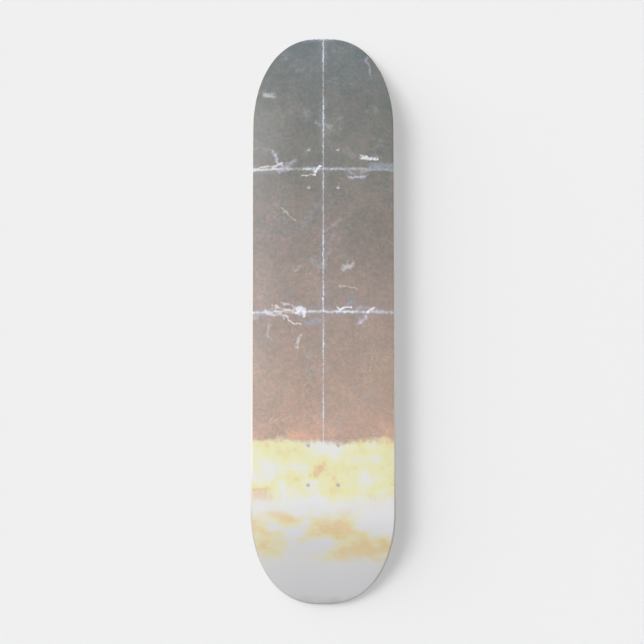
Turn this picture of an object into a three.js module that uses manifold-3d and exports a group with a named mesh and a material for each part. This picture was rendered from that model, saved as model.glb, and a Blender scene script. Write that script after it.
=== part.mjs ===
// A bare popsicle skateboard deck: seven maple plies glued in a stack, with a printed film on the
// underside and a clear coat on the riding side. It lies with its printed side up, on the tips of its
// nose and tail. +Y points to the nose, +X to the right of the printed side, +Z up, out of the print.
// Millimetres.
import * as THREE from "three";
import { mergeVertices } from "three/addons/utils/BufferGeometryUtils.js";
import Module from "manifold-3d";

// Outline, seen from above.
const DECK_WIDTH = 200; // 7 7/8 in
const WHEELBASE = 361.95; // 14 1/4 in, between the inner bolt rows
const NOSE_BEYOND_BOLTS = 174.6; // outer bolt row to the tip of the nose
const TAIL_BEYOND_BOLTS = 164.8;
const NOSE_CURVE_LENGTH = 142; // how far back from the tip the sides start to curve in
const TAIL_CURVE_LENGTH = 127;
const SHOULDER = 2.47; // superellipse power across the deck: 2 is an ellipse, more is squarer

// Truck bolt pattern: four holes at each end.
const BOLT_ROW_SPACING = 53.975; // 2 1/8 in, along the deck
const BOLT_SPACING = 41.275; // 1 5/8 in, across the deck
const BOLT_HOLE_RADIUS = 2.5;
const HOLE_SIDES = 12;

// Moulded shape.
const KICK_ANGLE = THREE.MathUtils.degToRad(22);
const KICK_RADIUS = 150;
const KICK_DROP = 46; // both tips drop by this much, so that the flat middle lies level
const FLAT_HALF_WIDTH = 30;
const CONCAVE = 9; // how far the rails bend towards the riding side
const END_CONCAVE = 4; // the same, out on the kicks
const CONCAVE_FADE = 70; // length over which one becomes the other

// Layers, counted from the riding side.
const PLY_PITCH = 1.55;
const GLUE_LINE = 0.08;
const PRINT_EDGE_RADIUS = 3.5;
const RIDING_EDGE_RADIUS = 2.5;
const SKIN_THICKNESS = 0.12;
const SKIN_GAP = 0.03;
const COAT_SHORT_OF_TIP = 1; // the tips rest on bare wood, so the clear coat stops short of them
const PLY_NAMES = [
  "riding_face_ply",
  "riding_core_ply",
  "riding_crossband_ply",
  "middle_core_ply",
  "print_crossband_ply",
  "print_core_ply",
  "print_face_ply",
];
const CROSSBAND_PLIES = [2, 4];
const STACK = PLY_NAMES.length * PLY_PITCH;

// Facets.
const BEND_STEPS = 5;
const KICK_STEPS = 8;
const ACROSS = [-1, -0.92, -0.8, -0.64, -0.46, -0.3, 0.3, 0.46, 0.64, 0.8, 0.92, 1];
const NORMAL_STEP = 0.01; // finite difference for the surface's slope

const OUTER_BOLTS = WHEELBASE / 2 + BOLT_ROW_SPACING;
const BEND_LENGTH = KICK_RADIUS * Math.sin(KICK_ANGLE);
const BEND_DROP = KICK_RADIUS * (1 - Math.cos(KICK_ANGLE));
const KICK_LENGTH = BEND_LENGTH + (KICK_DROP - BEND_DROP) / Math.tan(KICK_ANGLE);

// An end of the deck: where its tip is, where its outline starts to curve and where its kick starts to
// bend, all as distances from the middle of the wheelbase.
function deckEnd(beyondBolts, curveLength) {
  const tip = OUTER_BOLTS + beyondBolts;
  return { tip, curveLength, curveStart: tip - curveLength, bendStart: tip - KICK_LENGTH };
}
const NOSE = deckEnd(NOSE_BEYOND_BOLTS, NOSE_CURVE_LENGTH);
const TAIL = deckEnd(TAIL_BEYOND_BOLTS, TAIL_CURVE_LENGTH);
const endAt = (y) => (y > 0 ? NOSE : TAIL);

// Half the deck's width at y, for an outline brought in by inset all round.
function halfWidth(y, inset) {
  const end = endAt(y);
  const along = Math.max(0, Math.abs(y) - end.curveStart) / (end.curveLength - inset);
  return (DECK_WIDTH / 2 - inset) * Math.max(0, 1 - along ** 2) ** (1 / SHOULDER);
}

function kickDrop(y) {
  const past = Math.abs(y) - endAt(y).bendStart;
  if (past <= 0) return 0;
  if (past < BEND_LENGTH) return KICK_RADIUS - Math.sqrt(KICK_RADIUS ** 2 - past ** 2);
  return BEND_DROP + (past - BEND_LENGTH) * Math.tan(KICK_ANGLE);
}

function concaveDrop(x, y) {
  const out = Math.max(0, Math.abs(x) - FLAT_HALF_WIDTH) / (DECK_WIDTH / 2 - FLAT_HALF_WIDTH);
  const fade = THREE.MathUtils.smoothstep(Math.abs(y) - endAt(y).bendStart, 0, CONCAVE_FADE);
  return THREE.MathUtils.lerp(CONCAVE, END_CONCAVE, fade) * out ** 2;
}

// The moulded surface: its height where the outline is widest, and a point at a height in the stack,
// measured along the surface's normal from the riding side.
const surface = (x, y) => -kickDrop(y) - concaveDrop(x, y);

function stackPoint(x, y, height) {
  const slopeX = (surface(x + NORMAL_STEP, y) - surface(x - NORMAL_STEP, y)) / (2 * NORMAL_STEP);
  const slopeY = (surface(x, y + NORMAL_STEP) - surface(x, y - NORMAL_STEP)) / (2 * NORMAL_STEP);
  const normal = new THREE.Vector3(-slopeX, -slopeY, 1).normalize();
  const fromWidest = height - (STACK - PRINT_EDGE_RADIUS);
  return new THREE.Vector3(x, y, surface(x, y)).addScaledVector(normal, fromWidest);
}

// How far the rounded edges bring the outline in at a height in the stack.
function edgeInset(height) {
  const above = Math.max(0, height - (STACK - PRINT_EDGE_RADIUS));
  const below = Math.max(0, RIDING_EDGE_RADIUS - height);
  const round = (radius, rise) => radius - Math.sqrt(Math.max(0, radius ** 2 - rise ** 2));
  return round(PRINT_EDGE_RADIUS, Math.min(above, PRINT_EDGE_RADIUS)) + round(RIDING_EDGE_RADIUS, below);
}

// The places along one end where a layer's cross-sections stand, from the middle out, as distances
// from the middle of the wheelbase. The last is just short of the tip, which is one point.
function endStations(end, inset) {
  const stations = [];
  for (let i = 0; i <= BEND_STEPS; i++) stations.push(end.bendStart + (BEND_LENGTH * i) / BEND_STEPS);
  const reach = end.curveLength - inset;
  const first = Math.asin((end.bendStart + BEND_LENGTH - end.curveStart) / reach);
  for (let i = 1; i < KICK_STEPS; i++) {
    const turn = first + ((Math.PI / 2 - first) * i) / KICK_STEPS;
    stations.push(end.curveStart + reach * Math.sin(turn));
  }
  return stations;
}

// The points of one face of a layer: the tail's tip, rows of points across the deck, the nose's tip.
function facePoints(height, shortOfTip) {
  const inset = edgeInset(height);
  const tailRows = endStations(TAIL, inset).map((y) => -y).reverse();
  const rows = [...tailRows, ...endStations(NOSE, inset)];
  const points = [stackPoint(0, inset + shortOfTip - TAIL.tip, height)];
  for (const y of rows) {
    for (const fraction of ACROSS) points.push(stackPoint(fraction * halfWidth(y, inset), y, height));
  }
  points.push(stackPoint(0, NOSE.tip - inset - shortOfTip, height));
  return { points, rowCount: rows.length };
}

// The triangles of one face, counter-clockwise from above, and the loop of points round its edge.
function faceTriangles(rowCount) {
  const wide = ACROSS.length;
  const at = (row, column) => 1 + row * wide + column;
  const noseTip = 1 + rowCount * wide;
  const triangles = [];
  for (let column = 0; column < wide - 1; column++) {
    triangles.push([0, at(0, column + 1), at(0, column)]);
    triangles.push([at(rowCount - 1, column), at(rowCount - 1, column + 1), noseTip]);
    for (let row = 0; row < rowCount - 1; row++) {
      triangles.push([at(row, column), at(row, column + 1), at(row + 1, column + 1)]);
      triangles.push([at(row, column), at(row + 1, column + 1), at(row + 1, column)]);
    }
  }
  const rightSide = Array.from({ length: rowCount }, (_, row) => at(row, wide - 1));
  const leftSide = Array.from({ length: rowCount }, (_, row) => at(rowCount - 1 - row, 0));
  return { triangles, loop: [0, ...rightSide, noseTip, ...leftSide] };
}

const wasm = await Module();
wasm.setup();

function toSolid(positions, indices) {
  return new wasm.Manifold(
    new wasm.Mesh({
      numProp: 3,
      vertProperties: new Float32Array(positions),
      triVerts: new Uint32Array(indices),
    }),
  );
}

function toGeometry(solid) {
  const mesh = solid.getMesh();
  const geometry = new THREE.BufferGeometry();
  geometry.setAttribute("position", new THREE.BufferAttribute(mesh.vertProperties, 3));
  geometry.setIndex(new THREE.BufferAttribute(mesh.triVerts, 1));
  geometry.computeVertexNormals();
  return geometry;
}

// A layer of the stack, from one height to another, before it is drilled.
function layerSolid(lowHeight, highHeight, shortOfTip) {
  const low = facePoints(lowHeight, shortOfTip);
  const high = facePoints(highHeight, shortOfTip);
  const { triangles, loop } = faceTriangles(low.rowCount);
  const lift = low.points.length;
  const indices = [];
  for (const [a, b, c] of triangles) {
    indices.push(a, c, b);
    indices.push(a + lift, b + lift, c + lift);
  }
  loop.forEach((a, i) => {
    const b = loop[(i + 1) % loop.length];
    indices.push(a, b, b + lift);
    indices.push(a, b + lift, a + lift);
  });
  const positions = [...low.points, ...high.points].flatMap((point) => point.toArray());
  return toSolid(positions, indices);
}

// One bolt hole's drill: a cylinder that reaches well past both faces.
function drillSolid(x, y) {
  const drill = new THREE.CylinderGeometry(BOLT_HOLE_RADIUS, BOLT_HOLE_RADIUS, 4 * STACK, HOLE_SIDES);
  drill.rotateX(Math.PI / 2);
  drill.translate(x, y, 0);
  const merged = mergeVertices(drill.deleteAttribute("normal").deleteAttribute("uv"), 1e-4);
  return toSolid(merged.attributes.position.array, merged.index.array);
}

const boltRows = [-OUTER_BOLTS, -WHEELBASE / 2, WHEELBASE / 2, OUTER_BOLTS];
let drills = null;
for (const y of boltRows) {
  for (const x of [-BOLT_SPACING / 2, BOLT_SPACING / 2]) {
    const drill = drillSolid(x, y);
    drills = drills ? drills.add(drill) : drill;
  }
}

function addLayer(group, name, lowHeight, highHeight, finish, shortOfTip = 0) {
  const drilled = layerSolid(lowHeight, highHeight, shortOfTip).subtract(drills);
  const mesh = new THREE.Mesh(toGeometry(drilled), new THREE.MeshStandardMaterial(finish));
  mesh.name = name;
  group.add(mesh);
}

const MAPLE = { color: 0xd9b98a, roughness: 0.55, metalness: 0 };
const CROSSBAND_MAPLE = { color: 0xbf8f5c, roughness: 0.6, metalness: 0 };
const PRINT = { color: 0xa99c93, roughness: 0.35, metalness: 0 };
const CLEAR_COAT = { color: 0xe3c79b, roughness: 0.25, metalness: 0 };

const deck = new THREE.Group();
PLY_NAMES.forEach((name, i) => {
  const low = i === 0 ? 0 : i * PLY_PITCH + GLUE_LINE / 2;
  const high = i === PLY_NAMES.length - 1 ? STACK : (i + 1) * PLY_PITCH - GLUE_LINE / 2;
  addLayer(deck, name, low, high, CROSSBAND_PLIES.includes(i) ? CROSSBAND_MAPLE : MAPLE);
});
addLayer(deck, "printed_film", STACK + SKIN_GAP, STACK + SKIN_GAP + SKIN_THICKNESS, PRINT);
addLayer(deck, "clear_coat", -SKIN_GAP - SKIN_THICKNESS, -SKIN_GAP, CLEAR_COAT, COAT_SHORT_OF_TIP);

// The part's origin: on the surface that the tips rest on, under the middle of the deck's box.
const box = new THREE.Box3().setFromObject(deck);
deck.position.set(0, -(box.min.y + box.max.y) / 2, -box.min.z);

const skateboard = new THREE.Group();
skateboard.add(deck);

export default skateboard;
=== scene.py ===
"""A bare skateboard deck, lying with its printed side up on the tips of its nose and tail.

Each of the seven plies, the printed film and the clear coat is a fine mesh of its own, which replaces
the faceted CAD solid of the same name. Metres, in the CAD model's frame.
"""
import math
from collections import namedtuple

import bpy
import numpy as np
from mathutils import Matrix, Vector


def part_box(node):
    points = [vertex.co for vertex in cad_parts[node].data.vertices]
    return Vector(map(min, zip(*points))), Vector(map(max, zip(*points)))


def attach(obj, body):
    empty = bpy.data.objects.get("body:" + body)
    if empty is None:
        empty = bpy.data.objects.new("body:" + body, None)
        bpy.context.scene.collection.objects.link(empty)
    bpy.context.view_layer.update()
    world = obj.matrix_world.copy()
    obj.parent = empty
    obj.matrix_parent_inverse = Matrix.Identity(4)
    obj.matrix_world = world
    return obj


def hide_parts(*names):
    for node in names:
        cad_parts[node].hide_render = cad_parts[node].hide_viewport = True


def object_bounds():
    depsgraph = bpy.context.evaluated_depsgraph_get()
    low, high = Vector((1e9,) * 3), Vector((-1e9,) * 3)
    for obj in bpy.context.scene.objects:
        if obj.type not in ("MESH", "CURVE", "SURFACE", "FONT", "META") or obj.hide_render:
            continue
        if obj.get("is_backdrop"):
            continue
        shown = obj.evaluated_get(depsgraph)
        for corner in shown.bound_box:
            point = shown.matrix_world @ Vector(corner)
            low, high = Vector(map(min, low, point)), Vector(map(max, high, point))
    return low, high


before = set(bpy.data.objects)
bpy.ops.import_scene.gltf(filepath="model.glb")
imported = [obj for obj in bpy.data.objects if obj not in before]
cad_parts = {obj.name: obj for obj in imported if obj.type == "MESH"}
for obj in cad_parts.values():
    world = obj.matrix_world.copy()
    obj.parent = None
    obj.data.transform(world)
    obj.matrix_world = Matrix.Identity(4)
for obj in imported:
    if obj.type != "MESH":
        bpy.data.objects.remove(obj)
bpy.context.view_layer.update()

# ---------------------------------------------------------------- the deck's driving dimensions
DECK_WIDTH = 0.200
WHEELBASE = 0.36195
BOLT_ROW_SPACING = 0.053975
BOLT_SPACING = 0.041275
BOLT_HOLE_RADIUS = 0.0025
NOSE_BEYOND_BOLTS = 0.1746
TAIL_BEYOND_BOLTS = 0.1648
NOSE_CURVE_LENGTH = 0.142
TAIL_CURVE_LENGTH = 0.127
SHOULDER = 2.47
KICK_ANGLE = math.radians(22)
KICK_RADIUS = 0.150
KICK_DROP = 0.046
FLAT_HALF_WIDTH = 0.030
CONCAVE = 0.009
END_CONCAVE = 0.004
CONCAVE_FADE = 0.070

# Layers, counted from the riding side.
PLIES = [
    "riding_face_ply",
    "riding_core_ply",
    "riding_crossband_ply",
    "middle_core_ply",
    "print_crossband_ply",
    "print_core_ply",
    "print_face_ply",
]
PLY_PITCH = 0.00155
GLUE_LINE = 0.00008
STACK = len(PLIES) * PLY_PITCH
PRINT_EDGE_RADIUS = 0.0035
RIDING_EDGE_RADIUS = 0.0025
SKIN_THICKNESS = 0.00012
SKIN_GAP = 0.00003
WIDEST = STACK - PRINT_EDGE_RADIUS
FILM_WRAP = np.radians([60, 4, 30])  # how far the film turns down over the edge, as in along_deck
HOLE_SOFTENING = 0.0001
SKIN_HOLE_MARGIN = 0.0001
COAT_MARGIN = 0.0004
SHARP_ANGLE = math.radians(35)

# Mesh fineness.
HOLE_BLOCK = 0.008
BLOCK_STEPS = 6
ROW_STEP = 0.012
BEND_STEPS = 14
KICK_STEPS = 42
RIM_COLUMNS = 16
ROUNDING_STEPS = 12
WRAP_STEPS = 5
SLOPE_STEP = 1e-5
COUNT_SLACK = 1e-9  # keeps rounding errors from adding a step

OUTER_BOLTS = WHEELBASE / 2 + BOLT_ROW_SPACING
BOLT_ROWS_Y = [-OUTER_BOLTS, -WHEELBASE / 2, WHEELBASE / 2, OUTER_BOLTS]
BOLTS = [(x, y) for y in BOLT_ROWS_Y for x in (-BOLT_SPACING / 2, BOLT_SPACING / 2)]
BEND_LENGTH = KICK_RADIUS * math.sin(KICK_ANGLE)
BEND_DROP = KICK_RADIUS * (1 - math.cos(KICK_ANGLE))
KICK_LENGTH = BEND_LENGTH + (KICK_DROP - BEND_DROP) / math.tan(KICK_ANGLE)

End = namedtuple("End", "tip curve_length curve_start bend_start")


def deck_end(beyond_bolts, curve_length):
    """One end of the deck, as distances from the middle of the wheelbase."""
    tip = OUTER_BOLTS + beyond_bolts
    return End(tip, curve_length, tip - curve_length, tip - KICK_LENGTH)


NOSE = deck_end(NOSE_BEYOND_BOLTS, NOSE_CURVE_LENGTH)
TAIL = deck_end(TAIL_BEYOND_BOLTS, TAIL_CURVE_LENGTH)

# The frame's origin is under the middle of the deck, and the film's top is its highest point.
MIDDLE_Y = (NOSE.tip - TAIL.tip) / 2
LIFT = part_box("printed_film")[1][2] - (PRINT_EDGE_RADIUS + SKIN_GAP + SKIN_THICKNESS)


# ---------------------------------------------------------------- the moulded surface
def by_end(y, name):
    """An end's value at each y: the nose's in front of the wheelbase's middle, the tail's behind."""
    return np.where(y > 0, getattr(NOSE, name), getattr(TAIL, name))


def along_deck(y, value):
    """A value at each y. It is one number, or three: at the tail's tip, where its curve starts, and at
    the nose's bolts."""
    return np.interp(y, [-TAIL.tip, -TAIL.curve_start, WHEELBASE / 2], np.broadcast_to(value, 3))


def half_width(y, inset):
    """Half the deck's width at y, for an outline brought in by inset all round."""
    along = np.clip(np.abs(y) - by_end(y, "curve_start"), 0, None) / (by_end(y, "curve_length") - inset)
    return (DECK_WIDTH / 2 - inset) * np.clip(1 - along**2, 0, None) ** (1 / SHOULDER)


def surface(x, y):
    """Height of the surface where the outline is widest: flat, bent down at the kicks and the rails."""
    past = np.abs(y) - by_end(y, "bend_start")
    bend = KICK_RADIUS - np.sqrt(KICK_RADIUS**2 - np.clip(past, 0, BEND_LENGTH) ** 2)
    straight = np.clip(past - BEND_LENGTH, 0, None) * math.tan(KICK_ANGLE)
    out = np.clip(np.abs(x) - FLAT_HALF_WIDTH, 0, None) / (DECK_WIDTH / 2 - FLAT_HALF_WIDTH)
    fade = np.clip(past / CONCAVE_FADE, 0, 1)
    fade = fade * fade * (3 - 2 * fade)
    return -bend - straight - (CONCAVE + (END_CONCAVE - CONCAVE) * fade) * out**2


def stack_points(x, y, height):
    """Points at a height in the stack, measured along the surface's normal, in the part's frame."""
    x, y, height = np.broadcast_arrays(np.asarray(x, float), np.asarray(y, float), height)
    slope_x = (surface(x + SLOPE_STEP, y) - surface(x - SLOPE_STEP, y)) / (2 * SLOPE_STEP)
    slope_y = (surface(x, y + SLOPE_STEP) - surface(x, y - SLOPE_STEP)) / (2 * SLOPE_STEP)
    normal = np.stack([-slope_x, -slope_y, np.ones_like(x)], axis=-1)
    normal /= np.linalg.norm(normal, axis=-1, keepdims=True)
    points = np.stack([x, y, surface(x, y)], axis=-1) + normal * (height[..., None] - WIDEST)
    return points + np.array([0.0, -MIDDLE_Y, LIFT])


# ---------------------------------------------------------------- the mesh's rows and columns
def spaced(start, stop, step):
    """Evenly spaced values from start up to, but not including, stop."""
    count = max(1, math.ceil((stop - start) / step - COUNT_SLACK))
    return np.linspace(start, stop, count, endpoint=False)


def end_rows(end, inset):
    """Rows from where an end's kick starts to bend to just short of its tip."""
    bend = end.bend_start + BEND_LENGTH * np.linspace(0, 1, BEND_STEPS + 1)
    reach = end.curve_length - inset
    first = math.asin((bend[-1] - end.curve_start) / reach)
    turns = np.linspace(first, math.pi / 2, KICK_STEPS + 1)[1:-1]
    return np.concatenate([bend, end.curve_start + reach * np.sin(turns)])


def flat_rows():
    """Rows between the kicks, even inside the block of cells that each bolt hole is set in. Also returns
    the first row of each block."""
    rows, starts, reached = [], [], -TAIL.bend_start
    for bolt in BOLT_ROWS_Y:
        rows.append(spaced(reached, bolt - HOLE_BLOCK, ROW_STEP))
        starts.append(sum(map(len, rows)))
        rows.append(spaced(bolt - HOLE_BLOCK, bolt + HOLE_BLOCK, 2 * HOLE_BLOCK / BLOCK_STEPS))
        reached = bolt + HOLE_BLOCK
    rows.append(spaced(reached, NOSE.bend_start, ROW_STEP))
    # The first row is left out, as the tail's kick has it already.
    return np.concatenate(rows)[1:], [start - 1 for start in starts]


def column_fractions():
    """Columns as fractions of the half width, closer together towards the rails. Also returns the first
    column of each block."""
    half = DECK_WIDTH / 2
    inner = spaced(0, BOLT_SPACING / 2 - HOLE_BLOCK, HOLE_BLOCK)[1:]
    block = np.linspace(-HOLE_BLOCK, HOLE_BLOCK, BLOCK_STEPS + 1) + BOLT_SPACING / 2
    eased = np.sin(np.linspace(0, math.pi / 2, RIM_COLUMNS + 1))[1:]
    rim = block[-1] + (half - block[-1]) * eased
    right = np.concatenate([inner, block, rim]) / half
    first_block = len(right) - len(rim) - len(block)
    columns = np.concatenate([-right[::-1], [0.0], right])
    middle = len(right)
    return columns, [middle - first_block - len(block), middle + 1 + first_block]


FLAT_ROWS, BLOCK_ROWS = flat_rows()
COLUMNS, BLOCK_COLUMNS = column_fractions()
TAIL_ROW_COUNT = BEND_STEPS + KICK_STEPS
BOLT_BLOCKS = [(TAIL_ROW_COUNT + row, column) for row in BLOCK_ROWS for column in BLOCK_COLUMNS]


def all_rows(inset):
    """All rows, tail to nose. The inset is one number, or three, as in along_deck."""
    at_tail, _, at_nose = np.broadcast_to(inset, 3)
    return np.concatenate([-end_rows(TAIL, at_tail)[::-1], FLAT_ROWS, end_rows(NOSE, at_nose)])


class MeshData:
    """Vertices and faces as they are gathered."""

    def __init__(self):
        self.points = []
        self.faces = []

    def add(self, points):
        """Adds an array of points, and returns their numbers in the array's shape."""
        points = np.asarray(points)
        first = len(self.points)
        self.points.extend(points.reshape(-1, 3))
        return np.arange(first, len(self.points)).reshape(points.shape[:-1])


def ring(low, high):
    """Quads between two closed loops. They face outwards when low runs counter-clockwise."""
    return list(zip(low, np.roll(low, -1), np.roll(high, -1), high))


def block_outline(grid, row, column):
    """The grid's vertices round one bolt hole's block, counter-clockwise from its low corner."""
    last_row, last_column = row + BLOCK_STEPS, column + BLOCK_STEPS
    return np.concatenate([
        grid[row, column:last_column],
        grid[row:last_row, last_column],
        grid[last_row, last_column:column:-1],
        grid[last_row:row:-1, column],
    ])


def hole_points(bolt, height, radius):
    """A circle round a bolt's place, in the order of its block's outline."""
    x, y = bolt
    turns = np.linspace(0, 2 * math.pi, 4 * BLOCK_STEPS, endpoint=False) - 3 * math.pi / 4
    return stack_points(x + radius * np.cos(turns), y + radius * np.sin(turns), height)


def add_face(data, height, inset, hole_radius, upwards):
    """One face of a layer, with its eight holes. Returns its rim and the loops round its holes."""
    rows = all_rows(inset)
    x = COLUMNS[None, :] * half_width(rows, inset)[:, None]
    grid = data.add(stack_points(x, rows[:, None], height))
    tail_tip, nose_tip = data.add(stack_points([0, 0], [inset - TAIL.tip, NOSE.tip - inset], height))
    in_block = np.zeros((len(rows) - 1, len(COLUMNS) - 1), bool)
    holes = []
    faces = []
    for bolt, (row, column) in zip(BOLTS, BOLT_BLOCKS):
        in_block[row:row + BLOCK_STEPS, column:column + BLOCK_STEPS] = True
        outline = block_outline(grid, row, column)
        corners = np.array([data.points[i] for i in outline])
        circle = hole_points(bolt, height, hole_radius)
        between = data.add((corners + 2 * circle) / 3)
        holes.append(data.add(circle))
        faces += ring(outline, between) + ring(between, holes[-1])
    for row, column in np.argwhere(~in_block):
        faces.append((
            grid[row, column], grid[row, column + 1], grid[row + 1, column + 1], grid[row + 1, column]
        ))
    for column in range(len(COLUMNS) - 1):
        faces.append((tail_tip, grid[0, column + 1], grid[0, column]))
        faces.append((grid[-1, column], grid[-1, column + 1], nose_tip))
    data.faces.extend(face if upwards else face[::-1] for face in faces)
    rim = np.concatenate([[tail_tip], grid[:, -1], [nose_tip], grid[::-1, 0]])
    return rim, holes


def rim_points(height, inset):
    """A loop round the edge, in the order of a face's rim. Both values can change along the deck."""
    at_tail, _, at_nose = np.broadcast_to(inset, 3)
    rows = all_rows(inset)
    half = half_width(rows, along_deck(rows, inset))
    x = np.concatenate([[0], half, [0], -half[::-1]])
    y = np.concatenate([[at_tail - TAIL.tip], rows, [NOSE.tip - at_nose], rows[::-1]])
    return stack_points(x, y, along_deck(y, height))


def layer_object(name, edge, bore):
    """A layer as an object. edge lists (height, inset) and bore (height, radius), from low to high."""
    data = MeshData()
    low_rim, low_holes = add_face(data, *edge[0], bore[0][1], upwards=False)
    high_rim, high_holes = add_face(data, *edge[-1], bore[-1][1], upwards=True)
    loops = [low_rim] + [data.add(rim_points(*place)) for place in edge[1:-1]] + [high_rim]
    for low, high in zip(loops, loops[1:]):
        data.faces += ring(low, high)
    for bolt, low_hole, high_hole in zip(BOLTS, low_holes, high_holes):
        middle = [data.add(hole_points(bolt, *place)) for place in bore[1:-1]]
        loops = [low_hole] + middle + [high_hole]
        for low, high in zip(loops, loops[1:]):
            data.faces += ring(high, low)

    # The grid's points inside the blocks are left out, as no face uses them.
    used = np.unique(np.concatenate([np.array(face) for face in data.faces]))
    renumbered = np.full(len(data.points), -1)
    renumbered[used] = np.arange(len(used))
    mesh = bpy.data.meshes.new(name)
    points = np.array(data.points)[used]
    mesh.from_pydata(points.tolist(), [], [renumbered[list(face)].tolist() for face in data.faces])
    mesh.polygons.foreach_set("use_smooth", [True] * len(mesh.polygons))
    mesh.update()
    made = bpy.data.objects.new(name, mesh)
    bpy.context.scene.collection.objects.link(made)
    return made


# ---------------------------------------------------------------- the layers
def print_side_arc(outwards, turns):
    """(height, inset) on the print side's rounded edge, or at a distance outwards from it, by angle."""
    radius = PRINT_EDGE_RADIUS + outwards
    return [(WIDEST + radius * np.sin(turn), PRINT_EDGE_RADIUS - radius * np.cos(turn)) for turn in turns]


def riding_side_arc(turns):
    radius = RIDING_EDGE_RADIUS
    return [(radius - radius * np.sin(turn), radius - radius * np.cos(turn)) for turn in turns]


QUARTER = np.linspace(0, math.pi / 2, ROUNDING_STEPS + 1)
STACK_EDGE = riding_side_arc(QUARTER[::-1]) + print_side_arc(0, QUARTER)


def ply_edge(low, high):
    """The rounded edge between two heights of the stack."""
    heights, insets = zip(*STACK_EDGE)
    between = [place for place in STACK_EDGE if low + GLUE_LINE < place[0] < high - GLUE_LINE]
    ends = [(height, float(np.interp(height, heights, insets))) for height in (low, high)]
    return [ends[0]] + between + [ends[1]]


def make_ply(index, name):
    is_first, is_last = index == 0, index == len(PLIES) - 1
    low = 0.0 if is_first else index * PLY_PITCH + GLUE_LINE / 2
    high = STACK if is_last else (index + 1) * PLY_PITCH - GLUE_LINE / 2
    bore = [(low, BOLT_HOLE_RADIUS), (high, BOLT_HOLE_RADIUS)]
    softened = BOLT_HOLE_RADIUS + HOLE_SOFTENING
    if is_first:
        bore = [(low, softened), (low + HOLE_SOFTENING, BOLT_HOLE_RADIUS), bore[1]]
    if is_last:
        bore = [bore[0], (high - HOLE_SOFTENING, BOLT_HOLE_RADIUS), (high, softened)]
    return layer_object(name + "_fine", ply_edge(low, high), bore)


def make_film():
    """The film follows the print side's rounded edge a little way down."""
    turns = np.linspace(math.pi / 2, math.pi / 2 - FILM_WRAP, WRAP_STEPS + 1)
    inner = print_side_arc(SKIN_GAP, turns)
    outer = print_side_arc(SKIN_GAP + SKIN_THICKNESS, turns[::-1])
    low, high = STACK + SKIN_GAP, STACK + SKIN_GAP + SKIN_THICKNESS
    edge = [(low, PRINT_EDGE_RADIUS)] + inner[1:] + outer[:-1] + [(high, PRINT_EDGE_RADIUS)]
    radius = BOLT_HOLE_RADIUS + SKIN_HOLE_MARGIN
    return layer_object("printed_film_fine", edge, [(low, radius), (high, radius)])


def make_coat():
    low, high = -SKIN_GAP - SKIN_THICKNESS, -SKIN_GAP
    inset = RIDING_EDGE_RADIUS + COAT_MARGIN
    radius = BOLT_HOLE_RADIUS + SKIN_HOLE_MARGIN
    return layer_object("clear_coat_fine", [(low, inset), (high, inset)], [(low, radius), (high, radius)])


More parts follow.
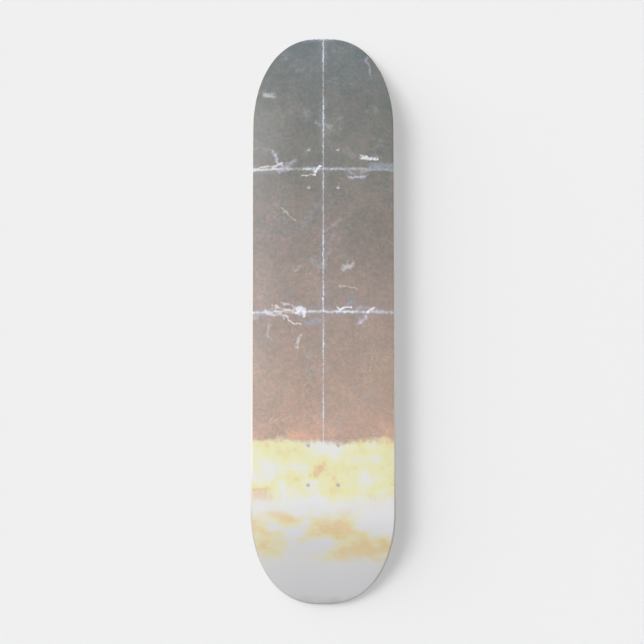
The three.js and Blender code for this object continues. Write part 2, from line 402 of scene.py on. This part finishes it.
# ---------------------------------------------------------------- materials
class Shader:
    """A material's node tree, built from short calls. An input is a number, a colour or a socket."""

    def __init__(self, name):
        self.material = bpy.data.materials.new(name)
        self.material.use_nodes = True
        self.tree = self.material.node_tree
        self.surface = self.tree.nodes["Principled BSDF"]

    def node(self, kind, inputs=(), **settings):
        made = self.tree.nodes.new("ShaderNode" + kind)
        for key, value in settings.items():
            setattr(made, key, value)
        for key, value in dict(inputs).items():
            self.put(made.inputs[key], value)
        return made

    def put(self, target, value):
        if isinstance(value, bpy.types.NodeSocket):
            self.tree.links.new(value, target)
        else:
            target.default_value = value

    def set(self, name, value):
        self.put(self.surface.inputs[name], value)

    def math(self, operation, a, b=0.0):
        return self.node("Math", {0: a, 1: b}, operation=operation).outputs[0]

    def place(self):
        """The point's place in the part's frame, in millimetres."""
        coordinates = self.node("TexCoord").outputs["Object"]
        return self.node("VectorMath", {0: coordinates, "Scale": 1000.0}, operation="SCALE").outputs[0]

    def stretched(self, vector, x, y, z=1.0):
        return self.node("VectorMath", {0: vector, 1: (x, y, z)}, operation="MULTIPLY").outputs[0]

    def noise_texture(self, vector, size, detail, roughness, seed):
        shifted = self.node("VectorMath", {0: vector, 1: (0, 0, seed * size)}, operation="ADD").outputs[0]
        settings = {"Vector": shifted, "Scale": 1 / size, "Detail": detail, "Roughness": roughness}
        return self.node("TexNoise", settings)

    def noise(self, vector, size, detail=3.0, roughness=0.5, seed=0.0):
        """Noise from 0 to 1, whose blotches are about size millimetres across."""
        return self.noise_texture(vector, size, detail, roughness, seed).outputs["Fac"]

    def warped(self, vector, size, amount, seed, detail=2.0):
        """The vector moved about sideways by noise, by up to about a third of amount."""
        shift = self.noise_texture(vector, size, detail, 0.5, seed).outputs["Color"]
        centred = self.node("VectorMath", {0: shift, 1: (0.5, 0.5, 0.5)}, operation="SUBTRACT").outputs[0]
        scaled = self.stretched(centred, amount, amount, 0)
        return self.node("VectorMath", {0: vector, 1: scaled}, operation="ADD").outputs[0]

    def after(self, vector, earlier):
        """The same vector, worked out after another value, as Cycles can only hold so many at a time."""
        settings = {0: earlier, 1: (0, 0, 0), 2: vector}
        return self.node("VectorMath", settings, operation="MULTIPLY_ADD").outputs[0]

    def turned(self, vector, degrees):
        """The vector turned about the Z axis."""
        settings = {"Vector": vector, "Angle": math.radians(degrees)}
        return self.node("VectorRotate", settings, rotation_type="Z_AXIS").outputs[0]

    def fade(self, value, start, stop, top=1.0):
        """0 where value is at start, top where it is at stop, and smooth between."""
        settings = {"Value": value, "From Min": start, "From Max": stop, "To Max": top}
        return self.node("MapRange", settings, interpolation_type="SMOOTHSTEP").outputs[0]

    def mix(self, factor, a, b, blend="MIX"):
        made = self.node("Mix", data_type="RGBA", blend_type=blend)
        for index, value in ((0, factor), (6, a), (7, b)):
            self.put(made.inputs[index], value)
        return made.outputs[2]

    def ramp(self, factor, stops):
        """A colour ramp. stops lists (position, colour)."""
        made = self.node("ValToRGB", {0: factor})
        elements = made.color_ramp.elements
        while len(elements) < len(stops):
            elements.new(0.5)
        for element, (position, colour) in zip(elements, stops):
            element.position = position
            element.color = colour
        return made.outputs[0]

    def stroke_distance(self, vector, x0, y0, x1, y1):
        """Distance from the straight stroke between two points."""
        run = Vector((x1 - x0, y1 - y0, 0))
        moved = self.node("VectorMath", {0: vector, 1: (x0, y0, 0)}, operation="SUBTRACT").outputs[0]
        dot = self.node("VectorMath", {0: moved, 1: run / run.length_squared}, operation="DOT_PRODUCT")
        share = self.node("Clamp", {"Value": dot.outputs[1]}).outputs[0]
        nearest = self.node("VectorMath", {0: run, "Scale": share}, operation="SCALE").outputs[0]
        apart = self.node("VectorMath", {0: moved, 1: nearest}, operation="DISTANCE")
        return apart.outputs[1]

    def bump(self, height, strength, distance):
        settings = {"Height": height, "Strength": strength, "Distance": distance}
        return self.node("Bump", settings).outputs[0]


def srgb(red, green, blue):
    """A display colour, 0 to 255, as the linear colour that a material takes."""
    shares = [value / 255 for value in (red, green, blue)]
    linear = [share / 12.92 if share <= 0.04045 else ((share + 0.055) / 1.055) ** 2.4 for share in shares]
    return (*linear, 1.0)


# Veneers: the light and the dark colour, and the roughness.
FACE_VENEER = srgb(234, 227, 216), srgb(222, 210, 192), 0.5
CORE_VENEER = srgb(236, 227, 212), srgb(220, 204, 182), 0.55
CROSSBAND_VENEER = srgb(224, 208, 186), srgb(202, 182, 156), 0.6
COATED_VENEER = srgb(234, 214, 184), srgb(212, 184, 146), 0.42
GRAIN_STRETCH = 0.06  # the figure's scale along the grain, against 1 across it

# Painted shade: the plies' bare edges are a little darker round the tail, where they turn away from the
# light.
TAIL_PAINTED_SHADE_Y = (-200, -290)
TAIL_PAINTED_SHADE = (0.74, 0.74, 0.75, 1.0)


def maple(name, grain_along_y, light, dark, roughness, tail=(1.0, 1.0, 1.0, 1.0), coat=0.0):
    """Sanded maple: soft figure along the grain and fine pores. tail multiplies the tail's colour with
    painted shade.
    """
    s = Shader(name)
    place = s.place()
    along = (1.0, GRAIN_STRETCH, GRAIN_STRETCH) if grain_along_y else (GRAIN_STRETCH, 1.0, 1.0)
    streaks = s.noise(s.stretched(place, *along), 3.0, detail=6.0, roughness=0.6)
    figure = s.noise(s.stretched(place, *along), 18.0, detail=3.0, seed=3.0)
    pores = s.noise(s.stretched(place, *along), 0.8, detail=2.0, seed=7.0)
    tone = s.math("ADD", s.math("MULTIPLY", streaks, 0.55), s.math("MULTIPLY", figure, 0.45))
    wood = s.ramp(tone, [(0.3, dark), (0.52, light), (0.75, light)])
    wood = s.mix(s.math("MULTIPLY", s.fade(pores, 0.6, 0.78), 0.35), wood, dark)
    y = s.node("SeparateXYZ", {0: place}).outputs["Y"]
    # painted shade round the tail
    s.set("Base Color", s.mix(s.fade(y, *TAIL_PAINTED_SHADE_Y), wood, tail, "MULTIPLY"))
    s.set("Roughness", s.math("ADD", s.math("MULTIPLY", streaks, 0.16), roughness - 0.08))
    s.set("Coat Weight", coat)
    s.set("Coat Roughness", 0.22)
    s.set("Normal", s.bump(pores, 0.35, 0.0002))
    return s.material


def place_layer(made, node, material):
    """Lets a fine layer stand for its CAD node."""
    made.data.materials.append(material)
    made.data.set_sharp_from_angle(angle=SHARP_ANGLE)
    made.visible_diffuse = False  # the floor beside the deck stays evenly lit
    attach(made, "root")
    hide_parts(node)


# The print is a generic weathered sheet, folded in half along its length and in quarters across it:
# grey-green at the nose, brown in the middle, cream clouds and a pale tail. Its folds are evenly spaced,
# and its clouds, blotches and scuffs are random. Places are in millimetres in the part's frame, with +y
# towards the nose, and colours are display colours.
PRINT_LENGTH = 1000 * (NOSE.tip + TAIL.tip)
GROUND = [
    (-200, (190, 162, 148)),
    (-100, (176, 155, 142)),
    (0, (161, 146, 138)),
    (100, (143, 133, 127)),
    (200, (129, 127, 122)),
    (300, (119, 121, 118)),
    (400, (112, 120, 122)),
]
# The pale tail along the deck. Its darkening along the kick towards the tip is painted shade, added to the
# real shade where the kick turns from the light.
PALE = [
    (-403, (192, 191, 192)),
    (-390, (212, 212, 214)),
    (-340, (221, 221, 222)),
    (-280, (226, 226, 229)),
]
# Where the clouds begin, where they give way to the pale tail, and the middle of the tan clouds there.
CLOUD_EDGE_Y = -180
CLOUD_FOOT_Y = -260
TAN_CLOUD_Y = -308
# The tan clouds' colours: the noise where each one starts and where it is full.
TAN_CLOUDS = [
    (0.42, 0.52, (229, 221, 176)),
    (0.5, 0.6, (227, 203, 161)),
]
GLOW = (220, 178, 154)
SMUDGE = (156, 160, 166)
# The clouds' colours by the value of their noise.
CLOUD = [
    (0.35, (222, 196, 160)),
    (0.4, (228, 218, 170)),
    (0.46, (229, 226, 180)),
    (0.53, (229, 228, 194)),
    (0.6, (227, 227, 223)),
]

# Folds: how far apart they are, and the colours of the broken ink and the stain along it.
FOLD_EVERY = PRINT_LENGTH / 4
FOLD_INK, FOLD_STAIN = (232, 232, 240), (150, 162, 176)

# Scuffs of each colour: half width and length, each from least to most, and strength.
SCUFFS = [
    ((158, 172, 190), (1.4, 3.4), (12, 36), 0.6),
    ((186, 182, 192), (0.5, 2.4), (10, 50), 0.6),
    ((208, 203, 224), (0.8, 2.2), (8, 34), 0.8),
    ((232, 222, 212), (0.5, 1.0), (8, 40), 0.9),
    ((238, 240, 248), (0.8, 2.4), (6, 20), 1.0),
]
SCUFFS_PER_COLOUR = 8
SCUFF_SEED = 6  # keeps the scuffs off the bolt holes
SCUFFED_X, SCUFFED_Y = (-88, 88), (-140, 360)
# Scuffs at a fold: how far they spread to its sides, and by how many degrees they turn from it.
FOLD_SPREAD, FOLD_TURN = 9, 24
AWAY_FROM_FOLDS = 0.4  # how strong a scuff is away from the folds, where paper wears less

# Uneven ink: the size of its blotches, and what multiplies the print where they are darkest and palest.
UNEVEN_INK = [
    (110.0, (0.94, 0.95, 0.95), (1.06, 1.05, 1.05)),
    (34.0, (0.93, 0.96, 0.97), (1.07, 1.04, 1.03)),
    (12.0, (0.91, 0.97, 0.94), (1.09, 1.02, 1.06)),
    (5.0, (0.91, 0.93, 0.95), (1.09, 1.07, 1.05)),
    (2.2, (0.95, 0.95, 0.95), (1.05, 1.05, 1.05)),
]
INKED = (0.46, 0.2)  # a colour's lowest channel, where the sheet is bare and where it is fully inked

# What multiplies the print in its specks, in its scratches, which lie at four angles, and in its cracks.
SPECK_INK = (1.6, 1.6, 1.7, 1.0)
SCRATCH_INK = (1.22, 1.22, 1.25, 1.0)
SCRATCH_ANGLES = (16, -32, 64, 100)
CRACK_INK = (1.25, 1.23, 1.22, 1.0)

# The light falls more strongly on the left rail than on the right one. To offset that, the print has
# painted shade towards the left and painted light towards the right: not at all this side of the first x,
# and fully at the second. Along the deck it fades out with the concave, from the second y to the first.
LEFT_PAINTED_SHADE, RIGHT_PAINTED_LIGHT = (0.89, 0.89, 0.9, 1.0), (1.09, 1.09, 1.08, 1.0)
RAIL_COUNTERSHADE_X = (25, 100)
RAIL_COUNTERSHADE_Y = (332, 262)


def from_stops(s, y, stops):
    """A colour that changes along the deck. stops lists (y, colour)."""
    along = s.math("DIVIDE", s.math("ADD", y, PRINT_LENGTH / 2), PRINT_LENGTH)
    return s.ramp(along, [(0.5 + at / PRINT_LENGTH, srgb(*colour)) for at, colour in stops])


def random_strokes(rng, widths, lengths, strength):
    """Strokes as (x, y) to (x, y), half width and strength. Most of them lie near a cross fold."""
    strokes = []
    for index in range(SCUFFS_PER_COLOUR):
        if index % 3:
            y = rng.choice([0, FOLD_EVERY]) + rng.normal(0, FOLD_SPREAD)
            angle = rng.normal(0, FOLD_TURN)
            shown = strength
        else:
            y = rng.uniform(*SCUFFED_Y)
            angle = rng.uniform(0, 180)
            shown = strength * AWAY_FROM_FOLDS
        x = rng.uniform(*SCUFFED_X)
        half = rng.uniform(*lengths) / 2
        run_x, run_y = half * math.cos(math.radians(angle)), half * math.sin(math.radians(angle))
        strokes.append((x - run_x, y - run_y, x + run_x, y + run_y, rng.uniform(*widths), shown))
    return strokes


def scuffed(s, base, flat, ragged, broken):
    """Random scuffs, where the ink has rubbed off."""
    bent = s.warped(flat, 20.0, 22.0, detail=3.0, seed=23.0)
    rng = np.random.default_rng(SCUFF_SEED)
    for colour, widths, lengths, strength in SCUFFS:
        drawn = 0.0
        vector = s.after(bent, base)
        for *ends, half_wide, shown in random_strokes(rng, widths, lengths, strength):
            distance = s.math("DIVIDE", s.stroke_distance(vector, *ends), half_wide)
            drawn = s.math("MAXIMUM", drawn, s.fade(s.math("ADD", distance, ragged), 2.3, 0.2, shown))
        base = s.mix(s.math("MULTIPLY", drawn, broken), base, srgb(*colour))
    return base


def folded(s, base, flat, ragged, broken):
    """Evenly spaced folds, where the ink has broken, each in a faint stain."""
    wavering = s.warped(flat, 7.0, 3.0, detail=3.0, seed=16.0)
    x, y, _ = s.node("SeparateXYZ", {0: wavering}).outputs
    across = s.math("PINGPONG", y, FOLD_EVERY / 2)  # distance from the nearest fold across the deck
    along = s.math("ABSOLUTE", x)  # distance from the fold along it
    patchy = s.fade(s.noise(flat, 60.0, detail=3.0, seed=21.0), 0.38, 0.6)
    worn = s.math("MULTIPLY", s.math("ADD", s.math("MULTIPLY", patchy, 0.65), 0.35), broken)
    for distance, half_wide, stain in ((across, 1.3, 0.45), (along, 0.6, 0.25)):
        stained = s.math("MULTIPLY", s.fade(distance, 9.0, 1.0, stain), patchy)
        base = s.mix(stained, base, srgb(*FOLD_STAIN))
        crease = s.fade(s.math("ADD", s.math("DIVIDE", distance, half_wide), ragged), 2.3, 0.2, 0.95)
        base = s.mix(s.math("MULTIPLY", crease, worn), base, srgb(*FOLD_INK))
    return base


def uneven_ink(s, base, flat):
    """Blotches in the ink, which don't show where the sheet is bare."""
    red, green, blue = s.node("SeparateColor", {0: base}).outputs
    lowest = s.math("MINIMUM", red, s.math("MINIMUM", green, blue))
    ink = s.fade(lowest, *INKED)
    for index, (size, weak, strong) in enumerate(UNEVEN_INK):
        amount = s.fade(s.noise(flat, size, detail=2.0, roughness=0.6, seed=31.0 + index), 0.3, 0.7)
        base = s.mix(ink, base, s.mix(amount, (*weak, 1.0), (*strong, 1.0)), "MULTIPLY")
    return base


def scratched(s, base, flat):
    """Specks, scratches and wiry cracks where the ink is thinner. They gather in worn areas."""
    worn = s.fade(s.noise(flat, 45.0, detail=3.0, seed=41.0), 0.42, 0.66)
    bent = s.warped(flat, 26.0, 20.0, seed=46.0)
    specks = s.fade(s.noise(flat, 2.4, detail=3.0, roughness=0.6, seed=43.0), 0.62, 0.74)
    base = s.mix(s.math("MULTIPLY", specks, worn), base, SPECK_INK, "MULTIPLY")
    for index, angle in enumerate(SCRATCH_ANGLES):
        along = s.stretched(s.turned(bent, angle), 0.05, 1.0)
        scratches = s.fade(s.noise(along, 1.6, detail=2.0, seed=47.0 + index), 0.63, 0.74)
        base = s.mix(s.math("MULTIPLY", scratches, worn), base, SCRATCH_INK, "MULTIPLY")
    ridge = s.math("ABSOLUTE", s.math("SUBTRACT", s.noise(bent, 13.0, detail=5.0, seed=61.0), 0.5))
    cracks = s.math("MULTIPLY", s.fade(ridge, 0.016, 0.004), worn)
    return s.mix(cracks, base, CRACK_INK, "MULTIPLY")


def ground_colour(s, flat, y, ragged_y):
    """The dark part of the print, with a warm glow in places above the clouds."""
    base = from_stops(s, y, GROUND)
    smudges = s.fade(s.noise(flat, 34.0, detail=4.0, roughness=0.6, seed=73.0), 0.56, 0.74, 0.5)
    base = s.mix(smudges, base, srgb(*SMUDGE))
    glow = s.fade(s.noise(flat, 80.0, detail=3.0, seed=77.0), 0.42, 0.58, 0.9)
    near_clouds = s.fade(ragged_y, CLOUD_EDGE_Y + 36, CLOUD_EDGE_Y + 8)
    base = s.mix(s.math("MULTIPLY", glow, near_clouds), base, srgb(*GLOW))

    ragged = s.math("MULTIPLY", s.math("SUBTRACT", s.noise(flat, 4.0, detail=4.0, seed=18.0), 0.5), 4.6)
    broken = s.fade(s.noise(flat, 6.0, detail=4.0, roughness=0.65, seed=17.0), 0.3, 0.54)
    base = folded(s, base, flat, ragged, broken)
    return scratched(s, scuffed(s, base, flat, ragged, broken), flat)


def pale_colour(s, flat, y):
    """The pale tail, darker towards its tip with painted shade, with a band of tan clouds."""
    clouds = s.noise(s.stretched(flat, 1.0, 1.6), 62.0, detail=5.0, roughness=0.55, seed=83.0)
    band = s.fade(s.math("ABSOLUTE", s.math("SUBTRACT", y, TAN_CLOUD_Y)), 44, 16)
    base = from_stops(s, y, PALE)
    for start, stop, colour in TAN_CLOUDS:
        strength = s.math("MULTIPLY", s.fade(clouds, start, stop, 0.9), band)
        base = s.mix(strength, base, srgb(*colour))
    return base


def print_colour(s, place):
    """The printed picture's colour at each point."""
    flat = s.stretched(place, 1, 1, 0)
    loose = s.warped(flat, 34.0, 22.0, seed=1.0)
    frayed = s.math("SUBTRACT", s.noise(flat, 9.0, detail=5.0, roughness=0.6), 0.5)
    x, y, _ = s.node("SeparateXYZ", {0: loose}).outputs
    ragged_y = s.math("ADD", y, s.math("MULTIPLY", frayed, 16.0))

    ground = ground_colour(s, flat, y, ragged_y)
    mottle = s.noise(loose, 40.0, detail=5.0, roughness=0.6, seed=11.0)
    cloud = s.ramp(mottle, [(at, srgb(*colour)) for at, colour in CLOUD])
    past_foot = s.fade(ragged_y, CLOUD_FOOT_Y + 12, CLOUD_FOOT_Y - 12)
    cloud = s.mix(past_foot, cloud, pale_colour(s, flat, y))
    past_edge = s.fade(ragged_y, CLOUD_EDGE_Y + 5, CLOUD_EDGE_Y - 5)
    picture = s.mix(past_edge, ground, cloud)

    # painted shade towards the left rail and painted light towards the right one
    even = (1.0, 1.0, 1.0, 1.0)
    right = s.mix(s.fade(x, *RAIL_COUNTERSHADE_X), even, RIGHT_PAINTED_LIGHT)
    sides = s.mix(s.fade(s.math("MULTIPLY", x, -1.0), *RAIL_COUNTERSHADE_X), right, LEFT_PAINTED_SHADE)
    level = s.fade(s.math("ABSOLUTE", y), *RAIL_COUNTERSHADE_Y)
    return uneven_ink(s, s.mix(level, picture, sides, "MULTIPLY"), flat)


def printed_film():
    s = Shader("printed_film")
    place = s.place()
    s.set("Base Color", print_colour(s, place))
    wear = s.noise(place, 30.0, detail=6.0, roughness=0.6, seed=51.0)
    s.set("Roughness", s.math("ADD", s.math("MULTIPLY", wear, 0.18), 0.3))
    grain = s.noise(s.stretched(place, 1.0, 0.05, 0.05), 1.4, detail=4.0, seed=53.0)
    peel = s.noise(place, 1.1, detail=2.0, seed=57.0)
    height = s.math("ADD", s.math("MULTIPLY", grain, 0.7), s.math("MULTIPLY", peel, 0.3))
    s.set("Normal", s.bump(height, 0.25, 0.0001))
    s.set("Specular IOR Level", 0.4)
    return s.material


# ---------------------------------------------------------------- camera, floor and light
# The camera looks down on the deck, leaning a little from straight overhead towards the tail.
CAMERA_DISTANCE = 2.0
CAMERA_LEAN = math.radians(6.06)
CAMERA_AIM = (-0.00175, -0.0144)
SENSOR_WIDTH = 36.0
LENS = 80.42

# Two soft boxes stand to the left, a little towards the nose. The fill from the right casts no shadow
# and isn't seen in reflections.
# Compass direction from +X towards +Y, angle from overhead, spread, strength, and whether it casts shadows.
LIGHTS = [
    ("near_softbox", 152, 37, 30, 1.03, True),
    ("far_softbox", 151, 55, 74, 2.15, True),
    ("side_fill", 0, 20, 60, 1.13, False),
]
AMBIENT = 0.02
BACKGROUND = 0.871
FLOOR_COLOUR = (0.86, 0.86, 0.86, 1.0)


def add_camera():
    camera = bpy.data.objects.new("camera", bpy.data.cameras.new("camera"))
    camera.data.sensor_width = SENSOR_WIDTH
    camera.data.lens = LENS
    back = np.array([0.0, -math.sin(CAMERA_LEAN), math.cos(CAMERA_LEAN)])
    aim = np.array([*CAMERA_AIM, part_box("printed_film")[1][2]])
    camera.location = aim + CAMERA_DISTANCE * back
    camera.rotation_euler = (CAMERA_LEAN, 0, 0)
    bpy.context.scene.collection.objects.link(camera)
    bpy.context.scene.camera = camera


def add_floor(height):
    size = 12.0
    corners = [(-size, -size), (size, -size), (size, size), (-size, size)]
    mesh = bpy.data.meshes.new("floor")
    mesh.from_pydata([(x, y, height) for x, y in corners], [], [(0, 1, 2, 3)])
    floor = bpy.data.objects.new("floor", mesh)
    bpy.context.scene.collection.objects.link(floor)
    s = Shader("floor")
    s.set("Base Color", FLOOR_COLOUR)
    s.set("Roughness", 1.0)
    s.set("Specular IOR Level", 0.0)
    mesh.materials.append(s.material)
    floor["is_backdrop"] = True


def add_light(name, compass, from_overhead, spread, strength, casts_shadow):
    compass, tilt = math.radians(compass), math.radians(from_overhead)
    light = bpy.data.objects.new(name, bpy.data.lights.new(name, "SUN"))
    light.data.energy = strength
    light.data.angle = math.radians(spread)
    light.data.use_shadow = casts_shadow
    light.visible_glossy = casts_shadow
    towards = Vector((
        math.sin(tilt) * math.cos(compass), math.sin(tilt) * math.sin(compass), math.cos(tilt)
    ))
    light.rotation_mode = "QUATERNION"
    light.rotation_quaternion = towards.to_track_quat("Z", "Y")
    bpy.context.scene.collection.objects.link(light)


def add_surroundings():
    """A faint ambient light. The camera sees it as a pale background."""
    world = bpy.data.worlds.new("studio")
    world.use_nodes = True
    tree = world.node_tree
    seen = tree.nodes.new("ShaderNodeLightPath")
    strength = tree.nodes.new("ShaderNodeMapRange")
    strength.inputs["To Min"].default_value = AMBIENT
    strength.inputs["To Max"].default_value = BACKGROUND
    tree.links.new(seen.outputs["Is Camera Ray"], strength.inputs["Value"])
    tree.links.new(strength.outputs[0], tree.nodes["Background"].inputs["Strength"])
    tree.nodes["Background"].inputs["Color"].default_value = (1.0, 1.0, 1.0, 1.0)
    bpy.context.scene.world = world
    bpy.context.scene.view_settings.view_transform = "Standard"


# ---------------------------------------------------------------- the deck
add_camera()
add_surroundings()
for light in LIGHTS:
    add_light(*light)

FACE_MAPLE = maple("maple_face_veneer", True, *FACE_VENEER, tail=TAIL_PAINTED_SHADE)
CORE_MAPLE = maple("maple_core_veneer", True, *CORE_VENEER, tail=TAIL_PAINTED_SHADE)
CROSSBAND_MAPLE = maple("maple_crossband_veneer", False, *CROSSBAND_VENEER, tail=TAIL_PAINTED_SHADE)
COATED_MAPLE = maple("clear_coat", True, *COATED_VENEER, coat=0.6)

for index, name in enumerate(PLIES):
    ply = make_ply(index, name)
    if "crossband" in name:
        place_layer(ply, name, CROSSBAND_MAPLE)
    elif "face" in name:
        place_layer(ply, name, FACE_MAPLE)
    else:
        place_layer(ply, name, CORE_MAPLE)
place_layer(make_film(), "printed_film", printed_film())
place_layer(make_coat(), "clear_coat", COATED_MAPLE)

add_floor(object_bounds()[0][2])
